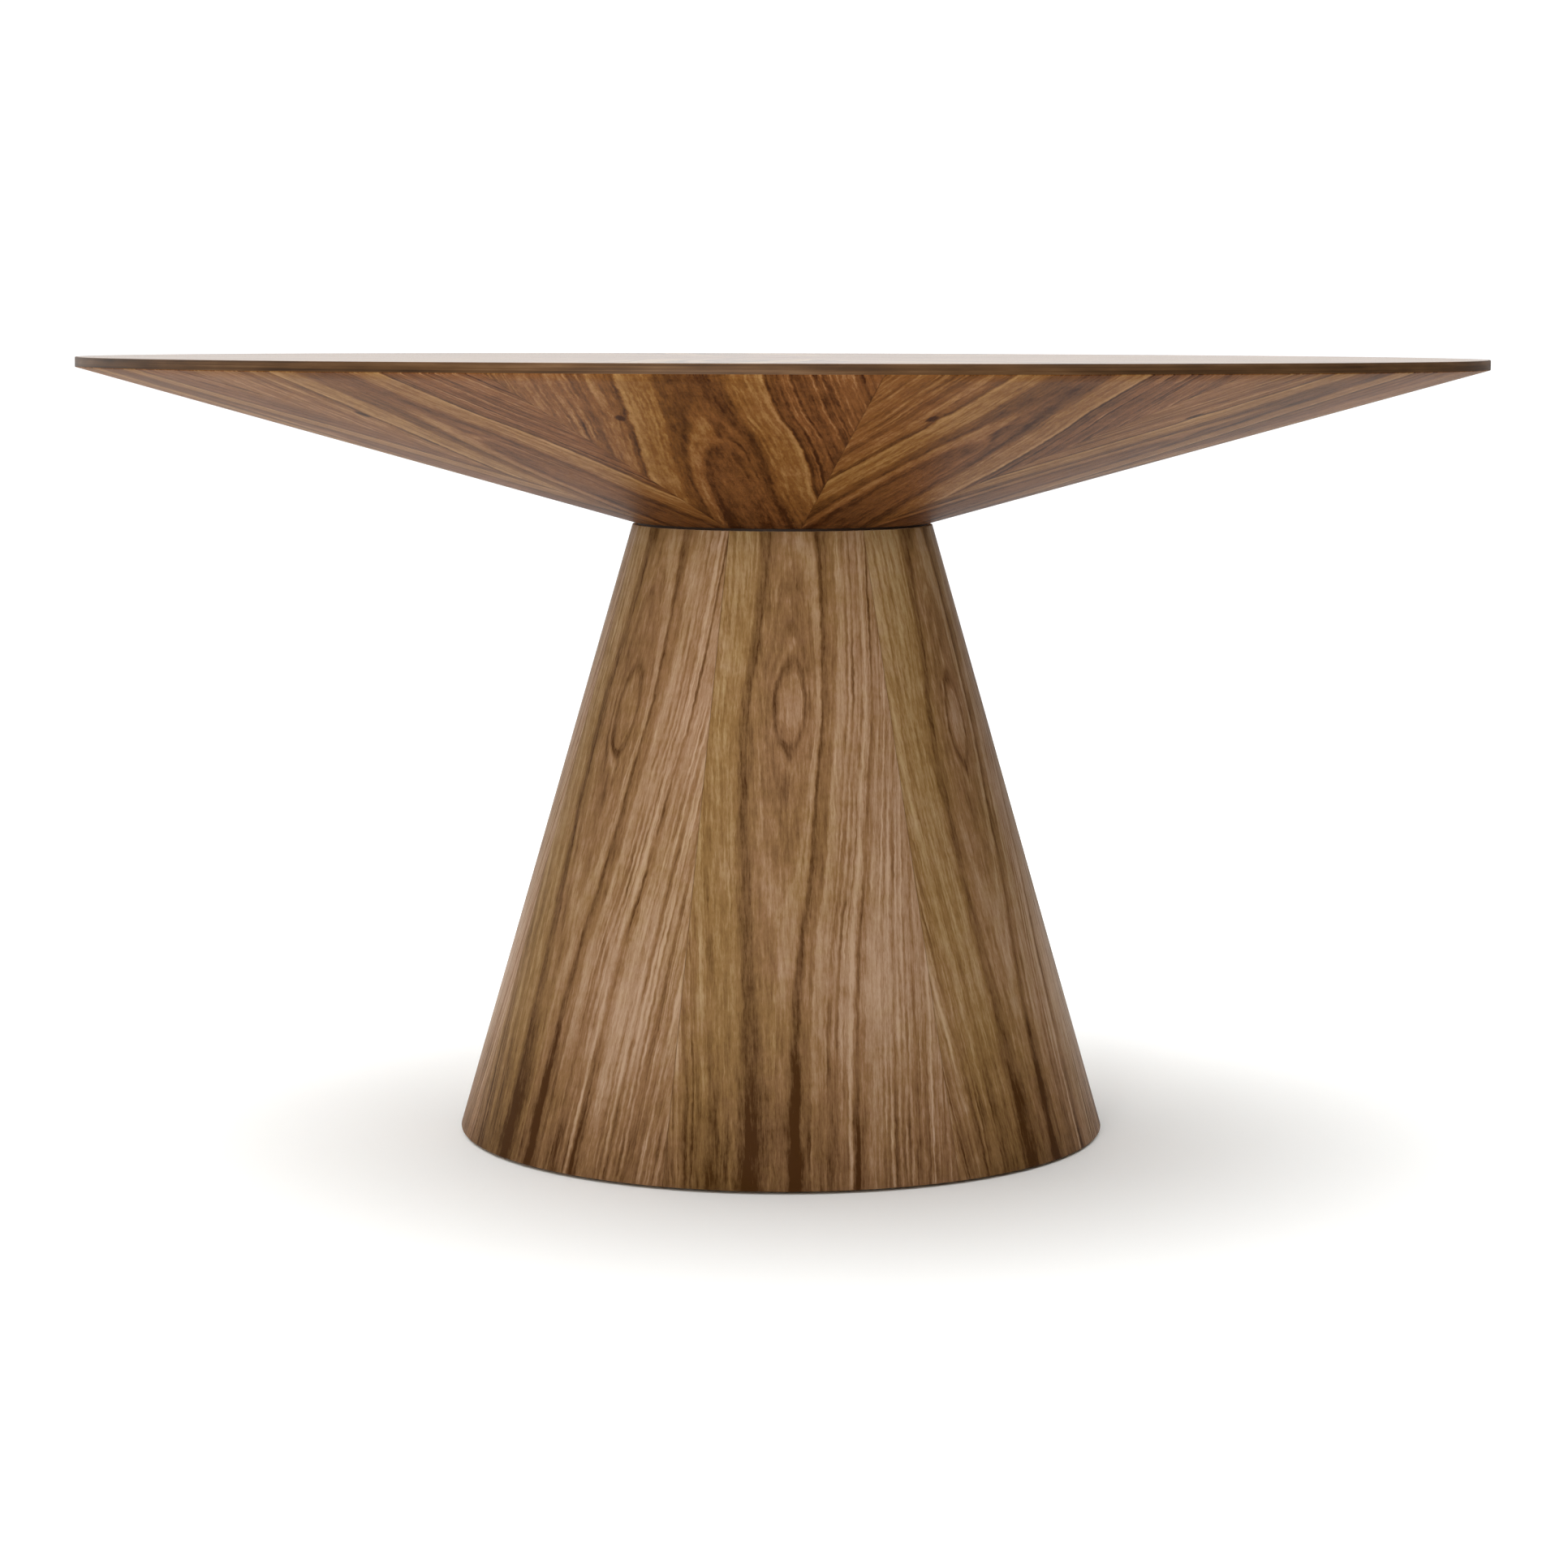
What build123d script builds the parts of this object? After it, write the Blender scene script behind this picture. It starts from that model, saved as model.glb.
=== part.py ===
from build123d import *
import math
import os

# Round pedestal dining table: a shallow cone under a thin-edged top, on one hollow tapered pedestal.
# Millimetres, +Z up, the origin on the floor under the middle. Angles are degrees from +X towards +Y,
# and the front of the table faces -Y.

# Driving dimensions
TOP_RADIUS = 686.0
HEIGHT = 762.0
EDGE_HEIGHT = 9.5
NECK_RADIUS = 148.0
NECK_Z = 598.0
REVEAL = 2.5
REVEAL_DEPTH = 5.0
FOOT_RADIUS = 317.5
FOOT_GAP = 3.0
VENEER = 0.8

# Top unit
TOP_BOARD = 18.0
EDGE_BAND = 2.0
SKIN = 6.0
SKIN_COUNT = 4
HUB_PLATE = 22.5
POST_RADIUS = 75.0
POST_BORE = 50.0
RIB_COUNT = 8
RIB_THICK = 15.0
RIB_TIP_HEIGHT = 8.0
RIB_START_ANGLE = 22.5
DOWEL_RADIUS = 4.0
DOWEL_LENGTH = 30.0
DOWEL_IN_BOARD = 12.0
DOWEL_AT = (150.0, 430.0)

# Veneer leaves: how many go round, and where the first seam of each face lies
TOP_LEAVES = 13
TOP_SEAM_ANGLE = -83.1
PEDESTAL_LEAVES = 7
PEDESTAL_SEAM_ANGLE = -110.0

# Pedestal
SHELL = 9.0
TOP_PLATE = 25.0
FIN_COUNT = 6
FIN_THICK = 15.0
FIN_TOP_INNER = 72.0
FIN_BASE_INNER = 198.0
FORMER = 18.0
FORMER_Z = 294.0
FORMER_BORE = 145.0
FORMER_LAP = 183.0
BASE_RING = 30.0
BASE_BORE = 190.0
BALLAST = 20.0
BALLAST_INNER = 195.0
BALLAST_OUTER = 288.0
BALLAST_SLOT = 17.0

# Fasteners
BOLT_RADIUS = 4.0
BOLT_CLEARANCE = 4.5
BOLT_LENGTH = 45.0
BOLT_HEAD = 5.3
SPANNER_SIZE = 13.0
BOLT_CIRCLE = 100.0
WASHER_RADIUS = 12.0
WASHER_BORE = 4.2
WASHER = 2.0
INSERT_RADIUS = 6.5
INSERT_FLANGE_RADIUS = 9.0
INSERT_FLANGE = 1.5
HUB_INSERT = 18.0
SCREW_RADIUS = 2.5
SCREW_HEAD_RADIUS = 5.0
SCREW_HEAD = 3.0
SCREW_TIP = 6.0
SCREW_DRIVE = 2.4
HUB_SCREW_CIRCLE = 85.0
HUB_SCREW = 70.0
PLATE_SCREW_CIRCLE = 110.0
PLATE_SCREW = 60.0
BASE_SCREW_CIRCLE = 240.0
BASE_SCREW = 70.0
BALLAST_SCREW = 40.0
BALLAST_SCREW_OFFSET = 16.0

# Levelling glides
GLIDE_CIRCLE = 272.0
GLIDE_START_ANGLE = 30.0
POCKET_RADIUS = 20.0
POCKET_DEPTH = 14.0
PAD_RADIUS = 16.0
PAD = 8.0
PAD_CHAMFER = 1.2
SOCKET_FLOOR = 2.5
STEM_FOOT_RADIUS = 5.0
STEM_TOP = 50.0
STEM_HOLE_IN_BALLAST = 6.0
RUNNING_GAP = 0.05
COLLAR_LIFT = 0.2
COLLAR_TOP = 15.2

# Heights worked out from the driving dimensions
RIM_Z = HEIGHT - EDGE_HEIGHT
TOP_Z = NECK_Z + REVEAL
TOP_SLOPE = (RIM_Z - TOP_Z) / (TOP_RADIUS - NECK_RADIUS)
BOARD_TOP = HEIGHT - VENEER
BOARD_Z = BOARD_TOP - TOP_BOARD
HUB_TOP = TOP_Z + HUB_PLATE
PEDESTAL_SLOPE = (FOOT_RADIUS - NECK_RADIUS) / (NECK_Z - FOOT_GAP)
PLATE_Z = NECK_Z - TOP_PLATE
RING_TOP = FOOT_GAP + BASE_RING
BALLAST_TOP = RING_TOP + BALLAST
POCKET_ROOF = FOOT_GAP + POCKET_DEPTH
GLIDE_INSERT_Z = POCKET_ROOF - INSERT_FLANGE
GLIDE_INSERT = RING_TOP - GLIDE_INSERT_Z

# Thicknesses of the slanted layers, measured straight up under the top and level at the pedestal
TOP_STRETCH = math.hypot(1.0, TOP_SLOPE)
PEDESTAL_STRETCH = math.hypot(1.0, PEDESTAL_SLOPE)


def under(depth, radius):
    """Height of the surface that lies a given depth inside the cone under the top."""
    return RIM_Z + (radius - TOP_RADIUS) * TOP_SLOPE + depth * TOP_STRETCH


def under_radius(depth, z):
    """Radius at which that surface reaches a height."""
    return TOP_RADIUS + (z - depth * TOP_STRETCH - RIM_Z) / TOP_SLOPE


def side(depth, z):
    """Radius of the surface that lies a given depth inside the pedestal's cone."""
    return FOOT_RADIUS - (z - FOOT_GAP) * PEDESTAL_SLOPE - depth * PEDESTAL_STRETCH


def turned(outline, start=0.0, sweep=360.0):
    """An (r, z) outline swept about the table's axis."""
    face = Face(Wire.make_polygon([(r, 0, z) for r, z in outline], close=True))
    return revolve(face, Axis.Z, sweep).rotate(Axis.Z, start)


def block(inner, outer, low, high):
    """The (r, z) outline of a level ring or disc."""
    return [(inner, low), (outer, low), (outer, high), (inner, high)]


def radial_board(outline, thick, angle):
    """An upright board in a radial plane, whose edges follow the cones that they meet."""
    slab = Pos(TOP_RADIUS / 2, 0, HEIGHT / 2) * Box(TOP_RADIUS, thick, HEIGHT)
    board = turned(outline, -30, 60) & slab
    return board.rotate(Axis.Z, angle)


def ring_angles(count, start=0.0):
    return [start + i * 360.0 / count for i in range(count)]


def around(piece, radius, z, angles):
    """Copies of a piece set on a circle, each turned to face outwards."""
    return [Rot(0, 0, a) * Pos(radius, 0, z) * piece for a in angles]


def write(name, pieces):
    """Writes one node: a single solid, or a group of separate ones."""
    solids = [s for piece in pieces for s in piece.solids()]
    shape = solids[0] if len(solids) == 1 else Compound(children=solids)
    export_step(shape, f"parts/{name}.step")


# Fasteners, each made pointing up from its own origin


def cylinder(radius, low, high):
    return Pos(0, 0, (low + high) / 2) * Cylinder(radius, high - low)


def hexagon(size, low, high):
    """A hexagonal prism, its size measured across the flats."""
    face = RegularPolygon(size / 2, 6, major_radius=False)
    return Pos(0, 0, low) * extrude(face, high - low)


def screw_blank(length):
    """The space that a countersunk wood screw fills, its head flush at the origin."""
    neck = length - SCREW_TIP
    outline = [
        (0, 0),
        (SCREW_HEAD_RADIUS, 0),
        (SCREW_RADIUS, SCREW_HEAD),
        (SCREW_RADIUS, neck),
        (0, length),
    ]
    return turned(outline)


def screw(length):
    """A countersunk wood screw with a square drive."""
    drive = Pos(0, 0, SCREW_DRIVE / 2) * Box(SCREW_DRIVE, SCREW_DRIVE, SCREW_DRIVE)
    return screw_blank(length) - drive


def insert_blank(length):
    """The space that a flanged threaded insert fills, its flange's face at the origin."""
    barrel = cylinder(INSERT_RADIUS, 0, length)
    return barrel + cylinder(INSERT_FLANGE_RADIUS, 0, INSERT_FLANGE)


def insert(length, bore):
    return insert_blank(length) - cylinder(bore, -1, length + 1)


def bolt():
    """A hexagon bolt whose head hangs under the origin."""
    return cylinder(BOLT_RADIUS, 0, BOLT_LENGTH) + hexagon(SPANNER_SIZE, -BOLT_HEAD, 0)


def washer():
    return cylinder(WASHER_RADIUS, 0, WASHER) - cylinder(WASHER_BORE, -1, WASHER + 1)


# Where the fasteners sit

rib_angles = ring_angles(RIB_COUNT, RIB_START_ANGLE)
fin_angles = ring_angles(FIN_COUNT)
bolt_angles = ring_angles(FIN_COUNT, 180.0 / FIN_COUNT)
glide_angles = ring_angles(FIN_COUNT, GLIDE_START_ANGLE)
ballast_screw_angles = [
    a + side_step for a in glide_angles for side_step in (-BALLAST_SCREW_OFFSET, BALLAST_SCREW_OFFSET)
]
pointing_down = Rot(180, 0, 0)

hub_screw_spaces = around(screw_blank(HUB_SCREW), HUB_SCREW_CIRCLE, TOP_Z, rib_angles)
plate_screw_spaces = around(
    pointing_down * screw_blank(PLATE_SCREW), PLATE_SCREW_CIRCLE, NECK_Z, fin_angles
)
base_screw_spaces = around(screw_blank(BASE_SCREW), BASE_SCREW_CIRCLE, FOOT_GAP, fin_angles)
ballast_screw_spaces = around(
    pointing_down * screw_blank(BALLAST_SCREW), BASE_SCREW_CIRCLE, BALLAST_TOP, ballast_screw_angles
)
hub_insert_spaces = around(insert_blank(HUB_INSERT), BOLT_CIRCLE, TOP_Z, bolt_angles)
bolt_holes = around(cylinder(BOLT_CLEARANCE, PLATE_Z - 1, TOP_Z + 1), BOLT_CIRCLE, 0, bolt_angles)
glide_insert_spaces = around(insert_blank(GLIDE_INSERT), GLIDE_CIRCLE, GLIDE_INSERT_Z, glide_angles)


# Top unit


def veneer_leaves(outline, count, start):
    """Butted leaves of veneer that go once round."""
    sweep = 360.0 / count
    return [turned(outline, a, sweep) for a in ring_angles(count, start)]


def top_face_veneer():
    radius = TOP_RADIUS - EDGE_BAND
    return veneer_leaves(block(0, radius, BOARD_TOP, HEIGHT), TOP_LEAVES, TOP_SEAM_ANGLE)


def underside_veneer():
    outline = [
        (under_radius(VENEER, TOP_Z), TOP_Z),
        (NECK_RADIUS, TOP_Z),
        (TOP_RADIUS, RIM_Z),
        (TOP_RADIUS, under(VENEER, TOP_RADIUS)),
    ]
    return veneer_leaves(outline, TOP_LEAVES, TOP_SEAM_ANGLE)


def edge_band():
    inner = TOP_RADIUS - EDGE_BAND
    outline = [
        (inner, under(VENEER, inner)),
        (TOP_RADIUS, under(VENEER, TOP_RADIUS)),
        (TOP_RADIUS, HEIGHT),
        (inner, HEIGHT),
    ]
    return turned(outline)


def dowels():
    blank = cylinder(DOWEL_RADIUS, DOWEL_IN_BOARD - DOWEL_LENGTH, DOWEL_IN_BOARD)
    return [d for r in DOWEL_AT for d in around(blank, r, BOARD_Z, rib_angles)]


def top_panel():
    """The flat board, bevelled underneath so that its edge thins out with the cone."""
    radius = TOP_RADIUS - EDGE_BAND
    outline = [
        (0, BOARD_Z),
        (under_radius(VENEER, BOARD_Z), BOARD_Z),
        (radius, under(VENEER, radius)),
        (radius, BOARD_TOP),
        (0, BOARD_TOP),
    ]
    return turned(outline) - dowels()


def underside_skins():
    """Bent panels that make the cone, each glued between the hub plate and the top board."""
    depth = VENEER + SKIN
    outline = [
        (under_radius(depth, TOP_Z), TOP_Z),
        (under_radius(VENEER, TOP_Z), TOP_Z),
        (under_radius(VENEER, BOARD_Z), BOARD_Z),
        (under_radius(depth, BOARD_Z), BOARD_Z),
    ]
    sweep = 360.0 / SKIN_COUNT
    return [turned(outline, a, sweep) for a in ring_angles(SKIN_COUNT, RIB_START_ANGLE)]


def top_ribs():
    depth = VENEER + SKIN
    tip = under_radius(depth, BOARD_Z - RIB_TIP_HEIGHT)
    outline = [
        (POST_RADIUS, HUB_TOP),
        (under_radius(depth, HUB_TOP), HUB_TOP),
        (tip, BOARD_Z - RIB_TIP_HEIGHT),
        (tip, BOARD_Z),
        (POST_RADIUS, BOARD_Z),
    ]
    boards = [radial_board(outline, RIB_THICK, a) for a in rib_angles]
    return [board - dowels() - hub_screw_spaces for board in boards]


def hub_plate():
    depth = VENEER + SKIN
    outline = [
        (0, TOP_Z),
        (under_radius(depth, TOP_Z), TOP_Z),
        (under_radius(depth, HUB_TOP), HUB_TOP),
        (0, HUB_TOP),
    ]
    return turned(outline) - hub_screw_spaces - hub_insert_spaces


def core_post():
    return turned(block(POST_BORE, POST_RADIUS, HUB_TOP, BOARD_Z))


def neck_spacer():
    return turned(block(0, NECK_RADIUS - REVEAL_DEPTH, NECK_Z, TOP_Z)) - bolt_holes


# Pedestal


def pedestal_veneer():
    outline = [
        (side(VENEER, FOOT_GAP), FOOT_GAP),
        (FOOT_RADIUS, FOOT_GAP),
        (NECK_RADIUS, NECK_Z),
        (side(VENEER, NECK_Z), NECK_Z),
    ]
    return veneer_leaves(outline, PEDESTAL_LEAVES, PEDESTAL_SEAM_ANGLE)


def cone_layer(low, high, inner):
    """A level ring inside the pedestal, its rim bevelled to the shell. inner is its bore."""
    depth = VENEER + SHELL
    return turned([(inner, low), (side(depth, low), low), (side(depth, high), high), (inner, high)])


def pedestal_half_shell(start):
    depth = VENEER + SHELL
    outline = [
        (side(depth, FOOT_GAP), FOOT_GAP),
        (side(VENEER, FOOT_GAP), FOOT_GAP),
        (side(VENEER, NECK_Z), NECK_Z),
        (side(depth, NECK_Z), NECK_Z),
    ]
    return turned(outline, start, 180.0)


def pedestal_top_plate():
    return cone_layer(PLATE_Z, NECK_Z, 0.0) - bolt_holes - plate_screw_spaces


def pedestal_fins():
    """Upright boards behind the shell, each slotted from inside for the middle former."""
    depth = VENEER + SHELL
    outline = [
        (FIN_BASE_INNER, RING_TOP),
        (side(depth, RING_TOP), RING_TOP),
        (side(depth, PLATE_Z), PLATE_Z),
        (FIN_TOP_INNER, PLATE_Z),
    ]
    lap = turned(block(0, FORMER_LAP, FORMER_Z, FORMER_Z + FORMER))
    boards = [radial_board(outline, FIN_THICK, a) for a in fin_angles]
    return [board - lap - plate_screw_spaces - base_screw_spaces for board in boards]


def middle_former():
    """A ring slotted from outside, so that it and the fins lock together."""
    slot = block(FORMER_LAP, FOOT_RADIUS, FORMER_Z, FORMER_Z + FORMER)
    ring = cone_layer(FORMER_Z, FORMER_Z + FORMER, FORMER_BORE)
    return ring - [radial_board(slot, FIN_THICK, a) for a in fin_angles]


def base_ring():
    pockets = around(cylinder(POCKET_RADIUS, 0, POCKET_ROOF), GLIDE_CIRCLE, 0, glide_angles)
    ring = cone_layer(FOOT_GAP, RING_TOP, BASE_BORE)
    return ring - pockets - glide_insert_spaces - base_screw_spaces - ballast_screw_spaces


def ballast_plates():
    """Steel segments that lie on the base ring between the fins."""
    outline = block(BALLAST_INNER, BALLAST_OUTER, RING_TOP, BALLAST_TOP)
    slot = block(BASE_BORE, FOOT_RADIUS, RING_TOP, BALLAST_TOP)
    slots = [radial_board(slot, BALLAST_SLOT, a) for a in fin_angles]
    hole = cylinder(STEM_HOLE_IN_BALLAST, RING_TOP, BALLAST_TOP)
    stem_holes = around(hole, GLIDE_CIRCLE, 0, glide_angles)
    return turned(outline) - slots - stem_holes - ballast_screw_spaces


# Levelling glides, made at the table's axis and then set in place


def glide_pad():
    """A plastic foot with a socket that the stem's foot turns in."""
    rim = PAD_RADIUS - PAD_CHAMFER
    socket = STEM_FOOT_RADIUS + RUNNING_GAP
    outline = [
        (0, 0),
        (rim, 0),
        (PAD_RADIUS, PAD_CHAMFER),
        (PAD_RADIUS, PAD - PAD_CHAMFER),
        (rim, PAD),
        (socket, PAD),
        (socket, SOCKET_FLOOR),
        (0, SOCKET_FLOOR),
    ]
    return turned(outline)


def glide_stem():
    """A stud with a foot, a hexagon collar for a spanner, and a threaded shank."""
    foot = cylinder(STEM_FOOT_RADIUS, SOCKET_FLOOR + RUNNING_GAP, PAD + COLLAR_LIFT)
    collar = hexagon(SPANNER_SIZE, PAD + COLLAR_LIFT, COLLAR_TOP)
    shank = cylinder(BOLT_RADIUS, COLLAR_TOP, STEM_TOP)
    return foot + collar + shank


os.makedirs("parts", exist_ok=True)

write("top_face_veneer", top_face_veneer())
write("edge_band", [edge_band()])
write("top_panel", [top_panel()])
write("underside_veneer", underside_veneer())
for number, skin in enumerate(underside_skins(), 1):
    write(f"underside_skin_{number}", [skin])
for number, rib in enumerate(top_ribs(), 1):
    write(f"top_rib_{number}", [rib])
write("rib_dowels", dowels())
write("core_post", [core_post()])
write("hub_plate", [hub_plate()])
write("hub_screws", around(screw(HUB_SCREW), HUB_SCREW_CIRCLE, TOP_Z, rib_angles))
write("hub_inserts", around(insert(HUB_INSERT, BOLT_RADIUS), BOLT_CIRCLE, TOP_Z, bolt_angles))
write("neck_spacer", [neck_spacer()])

write("connector_bolts", around(bolt(), BOLT_CIRCLE, PLATE_Z - WASHER, bolt_angles))
write("connector_washers", around(washer(), BOLT_CIRCLE, PLATE_Z - WASHER, bolt_angles))
write("pedestal_top_plate", [pedestal_top_plate()])
write(
    "top_plate_screws",
    around(pointing_down * screw(PLATE_SCREW), PLATE_SCREW_CIRCLE, NECK_Z, fin_angles),
)
write("pedestal_veneer", pedestal_veneer())
write("pedestal_shell_right", [pedestal_half_shell(-90.0)])
write("pedestal_shell_left", [pedestal_half_shell(90.0)])
for number, fin in enumerate(pedestal_fins(), 1):
    write(f"pedestal_fin_{number}", [fin])
write("middle_former", [middle_former()])
write("base_ring", [base_ring()])
write("base_screws", around(screw(BASE_SCREW), BASE_SCREW_CIRCLE, FOOT_GAP, fin_angles))
write("ballast_plates", [ballast_plates()])
write(
    "ballast_screws",
    around(pointing_down * screw(BALLAST_SCREW), BASE_SCREW_CIRCLE, BALLAST_TOP, ballast_screw_angles),
)
write(
    "glide_inserts",
    around(insert(GLIDE_INSERT, BOLT_RADIUS + RUNNING_GAP), GLIDE_CIRCLE, GLIDE_INSERT_Z, glide_angles),
)
for number, angle in enumerate(glide_angles, 1):
    write(f"glide_{number}_pad", around(glide_pad(), GLIDE_CIRCLE, 0, [angle]))
    write(f"glide_{number}_stem", around(glide_stem(), GLIDE_CIRCLE, 0, [angle]))
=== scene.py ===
import math

import bmesh
import bpy
from mathutils import Euler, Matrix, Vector


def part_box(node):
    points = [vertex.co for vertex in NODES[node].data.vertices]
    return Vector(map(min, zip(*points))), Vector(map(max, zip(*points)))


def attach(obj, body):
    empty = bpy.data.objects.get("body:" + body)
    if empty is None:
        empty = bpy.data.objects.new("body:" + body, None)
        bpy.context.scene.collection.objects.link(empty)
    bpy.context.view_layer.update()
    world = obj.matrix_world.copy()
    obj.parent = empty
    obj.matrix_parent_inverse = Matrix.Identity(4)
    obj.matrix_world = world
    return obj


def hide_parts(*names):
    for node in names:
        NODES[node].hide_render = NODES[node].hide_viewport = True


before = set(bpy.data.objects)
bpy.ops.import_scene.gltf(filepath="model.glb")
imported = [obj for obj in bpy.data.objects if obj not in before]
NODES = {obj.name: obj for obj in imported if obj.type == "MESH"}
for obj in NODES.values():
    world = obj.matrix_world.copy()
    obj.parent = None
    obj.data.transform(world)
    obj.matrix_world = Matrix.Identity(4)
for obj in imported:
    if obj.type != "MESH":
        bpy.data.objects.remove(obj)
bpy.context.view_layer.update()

# A round walnut dining table. Metres, +Z up, the front of the table faces -Y.
# Leaf angles are degrees from +X towards +Y, as in the CAD model.

# Veneer leaves: how many go round and where the first seam lies
TOP_LEAVES = 13
TOP_SEAM_ANGLE = -83.1
PEDESTAL_LEAVES = 7
PEDESTAL_SEAM_ANGLE = -110.0
SEAM_GAP = 0.00012
EASED_EDGE = 0.0004
LEAF_CREASE = math.radians(30)
RIM_CREASE = math.radians(50)

# How finely the meshes are cut
LEAF_COLUMNS_TOP = 20
LEAF_COLUMNS_PEDESTAL = 30
LEAF_ROWS = 24


# Sizes read from the frame

# How close two heights or radii of a CAD node are when they are the same one
SAME_PLACE = 2e-5


def node_rings(node):
    """The (radius, height) of every point of a CAD node."""
    return [(math.hypot(v.co.x, v.co.y), v.co.z) for v in NODES[node].data.vertices]


def radius_at(node, height):
    """The largest radius that a node has at a height."""
    return max(r for r, z in node_rings(node) if abs(z - height) < SAME_PLACE)


def lowest_at(node, radius):
    """The lowest point of a node at a radius."""
    return min(z for r, z in node_rings(node) if abs(r - radius) < SAME_PLACE)


FOOT_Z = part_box("pedestal_veneer")[0].z
NECK_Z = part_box("pedestal_veneer")[1].z
FOOT_RADIUS = radius_at("pedestal_veneer", FOOT_Z)
NECK_RADIUS = radius_at("pedestal_veneer", NECK_Z)
BOARD_TOP, HEIGHT = (corner.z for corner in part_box("top_face_veneer"))
VENEER = HEIGHT - BOARD_TOP
TOP_RADIUS = radius_at("edge_band", HEIGHT)
FACE_RADIUS = radius_at("top_face_veneer", HEIGHT)
TOP_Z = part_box("underside_veneer")[0].z
RIM_Z = lowest_at("underside_veneer", TOP_RADIUS)


# Meshes


def new_piece(name, mesh):
    """An object in the scene with this mesh."""
    piece = bpy.data.objects.new(name, mesh)
    bpy.context.scene.collection.objects.link(piece)
    return piece


class Cone:
    """One face of the table, which unrolls flat: r and z run from start to end along it."""

    def __init__(self, start, end, depth_side):
        self.start = Vector(start)
        self.end = Vector(end)
        along = (self.end - self.start).normalized()
        self.spread = abs(along.x)
        self.inward = Vector((-along.y, along.x)) * depth_side

    def point(self, share, depth, angle):
        """A point at a share of the way along the face, a depth under it and an angle round it."""
        r, z = self.start.lerp(self.end, share) + self.inward * depth
        return Vector((r * math.cos(angle), r * math.sin(angle), z))

    def flat(self, share, off_centre):
        """Where a point lies on the unrolled leaf: across it, and from the cone's tip."""
        slant = self.start.lerp(self.end, share).x / self.spread
        turn = off_centre * self.spread
        return slant * math.sin(turn), slant * math.cos(turn)


def leaf(name, cone, middle, sweep, columns):
    """A leaf of veneer with its real thickness, eased ends and a grain map in metres."""
    length = (cone.end - cone.start).length
    ease = EASED_EDGE / length
    shares = [0.0, ease] + [i / LEAF_ROWS for i in range(1, LEAF_ROWS)] + [1.0 - ease, 1.0]
    bm = bmesh.new()
    grain = bm.loops.layers.uv.new("grain")
    spots = {}
    layers = []
    for depth in (0.0, VENEER):
        grid = []
        for row, share in enumerate(shares):
            at_end = row in (0, len(shares) - 1)
            sunk = EASED_EDGE / 2 if at_end and depth == 0.0 else depth
            radius = max(cone.start.lerp(cone.end, share).x, SEAM_GAP)
            half = sweep / 2 - SEAM_GAP / (2 * radius)
            line = []
            for column in range(columns + 1):
                off = half * (2 * column / columns - 1)
                vert = bm.verts.new(cone.point(share, sunk, middle + off))
                spots[vert] = cone.flat(share, off)
                line.append(vert)
            grid.append(line)
        layers.append(grid)
    outer, inner = layers
    rows = len(shares) - 1
    for i in range(rows):
        for j in range(columns):
            bm.faces.new((outer[i][j], outer[i][j + 1], outer[i + 1][j + 1], outer[i + 1][j]))
            bm.faces.new((inner[i][j], inner[i + 1][j], inner[i + 1][j + 1], inner[i][j + 1]))
        bm.faces.new((outer[i][0], outer[i + 1][0], inner[i + 1][0], inner[i][0]))
        bm.faces.new((outer[i][-1], inner[i][-1], inner[i + 1][-1], outer[i + 1][-1]))
    for j in range(columns):
        bm.faces.new((outer[0][j], inner[0][j], inner[0][j + 1], outer[0][j + 1]))
        bm.faces.new((outer[-1][j], outer[-1][j + 1], inner[-1][j + 1], inner[-1][j]))
    for face in bm.faces:
        face.smooth = True
        for loop in face.loops:
            loop[grain].uv = spots[loop.vert]
    bmesh.ops.remove_doubles(bm, verts=bm.verts, dist=1e-7)
    bmesh.ops.recalc_face_normals(bm, faces=bm.faces)
    mesh = bpy.data.meshes.new(name)
    bm.to_mesh(mesh)
    bm.free()
    mesh.set_sharp_from_angle(angle=LEAF_CREASE)
    return new_piece(name, mesh)


def leaves(name, cone, count, first_seam, columns, material, node, drifts=()):
    """The leaves that go once round one face, each a slice further into the same log.

    drifts says how far the figure has moved in each slice, across and along, in millimetres,
    and how much lighter its wood is, from 0 to 1 between the darkest shade and the lightest.
    """
    sweep = math.tau / count
    for number in range(count):
        middle = math.radians(first_seam) + (number + 0.5) * sweep
        piece = leaf(f"{name}_{number + 1}", cone, middle, sweep, columns)
        slices = piece.data.attributes.new("slice", "FLOAT", "POINT")
        slices.data.foreach_set("value", [float(number)] * len(piece.data.vertices))
        drift = drifts[number] if drifts else (0.0, 0.0, 0.0)
        moved = piece.data.attributes.new("drift", "FLOAT_VECTOR", "POINT")
        moved.data.foreach_set("vector", list(drift) * len(piece.data.vertices))
        piece.data.materials.append(material)
        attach(piece, "table")
        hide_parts(node)


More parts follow.
